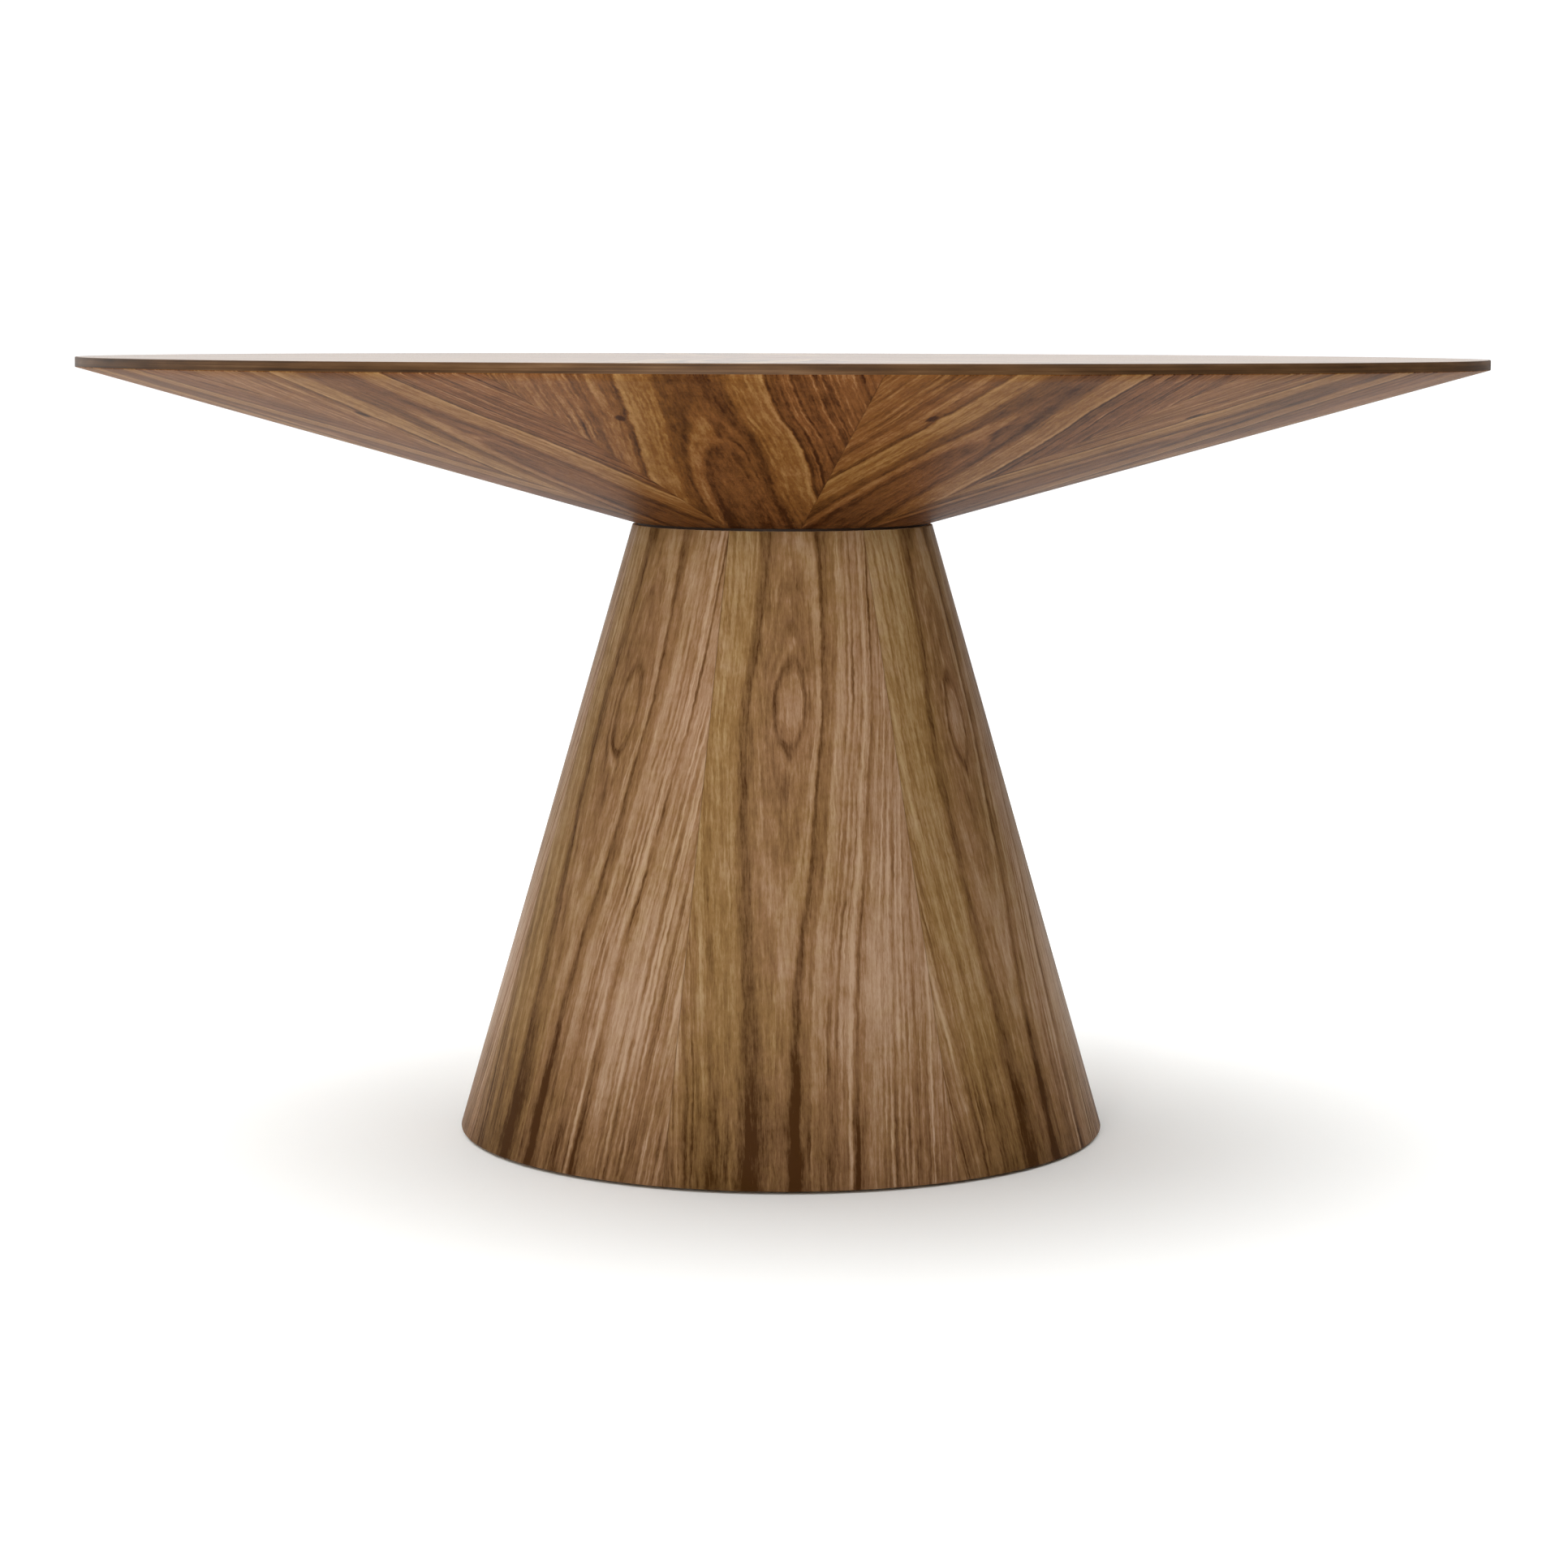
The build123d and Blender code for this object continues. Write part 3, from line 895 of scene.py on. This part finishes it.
pedestal_walnut = walnut(
    "pedestal_walnut",
    PEDESTAL_FIGURE,
    math.pi / PEDESTAL_LEAVES * pedestal_cone.spread,
    PEDESTAL_SHADES,
    # painted shade: the pedestal's wood darkens over about its lowest 170 mm, darkest at the floor
    painted_shade=(985.0, 1165.0, 0.33),
    Specular_IOR_Level=0.02,
)
underside_walnut = walnut(
    "underside_walnut",
    UNDERSIDE_FIGURE,
    leaf_half * underside_cone.spread,
    UNDERSIDE_SHADES,
    UNDERSIDE_KNOTS,
    # painted shade: the underside's wood darkens over about its innermost 190 mm, darkest at the
    # neck
    painted_shade=(340.0, 170.0, 0.20),
    roughness=0.50,
    Specular_IOR_Level=0.028,
)
top_walnut = walnut(
    "top_walnut",
    UNDERSIDE_FIGURE,
    leaf_half,
    TOP_SHADES_PAINTED_DARKER,
    roughness=0.36,
    Specular_IOR_Level=0.35,
    Coat_Weight=0.35,
    Coat_Roughness=0.18,
)

leaves(
    "pedestal_leaf",
    pedestal_cone,
    PEDESTAL_LEAVES,
    PEDESTAL_SEAM_ANGLE,
    LEAF_COLUMNS_PEDESTAL,
    pedestal_walnut,
    "pedestal_veneer",
    drifts=PEDESTAL_DRIFTS,
)
leaves(
    "underside_leaf",
    underside_cone,
    TOP_LEAVES,
    TOP_SEAM_ANGLE,
    LEAF_COLUMNS_TOP,
    underside_walnut,
    "underside_veneer",
    drifts=UNDERSIDE_DRIFTS,
)
leaves(
    "top_leaf",
    top_disc,
    TOP_LEAVES,
    TOP_SEAM_ANGLE,
    LEAF_COLUMNS_TOP,
    top_walnut,
    "top_face_veneer",
)

inner_low = lowest_at("edge_band", FACE_RADIUS)
outer_low = lowest_at("edge_band", TOP_RADIUS)
band = ring(
    "edge_lipping",
    [
        (FACE_RADIUS, inner_low),
        (TOP_RADIUS, outer_low),
        (TOP_RADIUS, HEIGHT - EASED_EDGE),
        (TOP_RADIUS - EASED_EDGE, HEIGHT),
        (FACE_RADIUS, HEIGHT),
    ],
    TOP_LEAVES * LEAF_COLUMNS_TOP,
)
band.data.materials.append(edge_walnut())
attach(band, "table")
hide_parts("edge_band")

# The hidden structure

RIB_START_ANGLE = 22.5
ribs = sorted(n for n in NODES if n.startswith("top_rib_"))
fins = sorted(n for n in NODES if n.startswith("pedestal_fin_"))
for number, node in enumerate(ribs):
    turn = math.radians(RIB_START_ANGLE) + math.tau * number / len(ribs)
    dress(plywood(f"rib_plywood_{number + 1}", turn), node)
for number, node in enumerate(fins):
    dress(plywood(f"fin_plywood_{number + 1}", math.tau * number / len(fins)), node)
level_plywood = plywood("level_plywood")
dress(level_plywood, "core_post", "hub_plate", "pedestal_top_plate", "middle_former", "base_ring")
dress(bent_plywood("shell_plywood", pedestal_cone), "pedestal_shell_right", "pedestal_shell_left")
skins = sorted(n for n in NODES if n.startswith("underside_skin_"))
dress(bent_plywood("skin_plywood", underside_cone), *skins)
dress(fibreboard(), "top_panel")
dress(beech(), "rib_dowels")
spacer_brown = dark_plastic("spacer_brown", 0.014, (1.7, 0.9, 0.5), Specular_IOR_Level=0.15)
dress(spacer_brown, "neck_spacer")
dress(painted_steel(), "ballast_plates")
steel = plated_steel()
fasteners = [n for n in NODES if n.endswith(("_screws", "_inserts", "_bolts", "_washers", "_stem"))]
dress(steel, *sorted(fasteners))
dress(dark_plastic("glide_nylon", 0.02), *sorted(n for n in NODES if n.endswith("_pad")))

# Camera, light and floor

CAMERA_DISTANCE = 3.735
CAMERA_HEIGHT = 0.789
CAMERA_ASIDE = 0.0016
CAMERA_PITCH = 0.060
CAMERA_ROLL = 0.0025
CAMERA_LENS = 86.9
CAMERA_SHIFT = -0.1445

camera_data = bpy.data.cameras.new("camera")
camera_data.lens = CAMERA_LENS
camera_data.shift_y = CAMERA_SHIFT
camera = bpy.data.objects.new("camera", camera_data)
camera.location = (CAMERA_ASIDE, -CAMERA_DISTANCE, CAMERA_HEIGHT)
camera.rotation_euler = Euler((math.pi / 2 - CAMERA_PITCH, 0, 0))
camera.rotation_euler.rotate_axis("Z", CAMERA_ROLL)
bpy.context.scene.collection.objects.link(camera)
bpy.context.scene.camera = camera

bpy.context.scene.view_settings.view_transform = "Standard"

FLOOR_RADIUS = 3.6
FLOOR_SIDES = 96
FLOOR_HEIGHT = -0.0002  # just under the glides, whose undersides would share its plane
FLOOR_WHITE = (0.885, 0.90, 0.89)
floor_mesh = bpy.data.meshes.new("floor")
rim = [
    (FLOOR_RADIUS * math.cos(a), FLOOR_RADIUS * math.sin(a), FLOOR_HEIGHT)
    for a in (math.tau * i / FLOOR_SIDES for i in range(FLOOR_SIDES))
]
floor_mesh.from_pydata(rim, [], [list(range(FLOOR_SIDES))])
floor = new_piece("floor", floor_mesh)
floor_paint = Finish("floor_paint", Specular_IOR_Level=0.1)
floor_mesh.materials.append(floor_paint.done(FLOOR_WHITE, 0.8))

# A white studio. The light that it gives is weaker from the right, the front and a little from the
# far left, which shades the pedestal; seen directly, it is plain white all round.
STUDIO_WHITE = 1.10
STUDIO_FADES = [  # axis, where each starts, its strength there, where it ends, its strength there
    ("X", -1.0, 0.90, -0.3, STUDIO_WHITE),
    ("X", 0.10, STUDIO_WHITE, 0.76, 0.06),
    ("Y", -0.70, 0.14, 0.15, STUDIO_WHITE),
]
world = bpy.data.worlds.new("studio")
world.use_nodes = True
sky = Graph(world.node_tree)
direction = dict(zip("XYZ", sky.split(sky.node("ShaderNodeTexCoord", "Generated"))))
given = None
for axis, start, strength_at_start, end, strength_at_end in STUDIO_FADES:
    fade = sky.smooth(direction[axis], start, end, strength_at_start, strength_at_end)
    given = fade if given is None else sky.math("MINIMUM", given, fade)
seen = sky.node("ShaderNodeLightPath", "Is Camera Ray") * STUDIO_WHITE
background = sky.tree.nodes["Background"]
sky.feed(background.inputs["Strength"], sky.math("MAXIMUM", seen, given))
sky.feed(background.inputs["Color"], (1.0, 1.0, 1.0))
bpy.context.scene.world = world


def lamp(name, kind, place, aim, power):
    """A lamp in the scene, turned to face aim."""
    data = bpy.data.lights.new(name, kind)
    data.energy = power
    holder = bpy.data.objects.new(name, data)
    holder.location = place
    holder.rotation_euler = (Vector(aim) - Vector(place)).to_track_quat("-Z", "Y").to_euler()
    bpy.context.scene.collection.objects.link(holder)
    return data


def softbox(name, place, aim, side, power):
    data = lamp(name, "AREA", place, aim, power)
    data.shape = "RECTANGLE"
    data.size = data.size_y = side


def spotlight(name, place, aim, width, angle, power):
    data = lamp(name, "SPOT", place, aim, power)
    data.spot_size = angle
    data.spot_blend = 1.0
    data.shadow_soft_size = width / 2


softbox("key", place=(-0.8, -3.8, 2.0), aim=(0, 0, 0.6), side=1.6, power=40.0)
softbox("overhead", place=(0, 0, 3.8), aim=(0, 0, 0), side=7.8, power=440.0)
spotlight(
    "pedestal_spot",
    place=(-0.55, -2.85, 0.85),
    aim=(0, 0, 0.53),
    width=0.5,
    angle=math.radians(23),
    power=154.0,
)
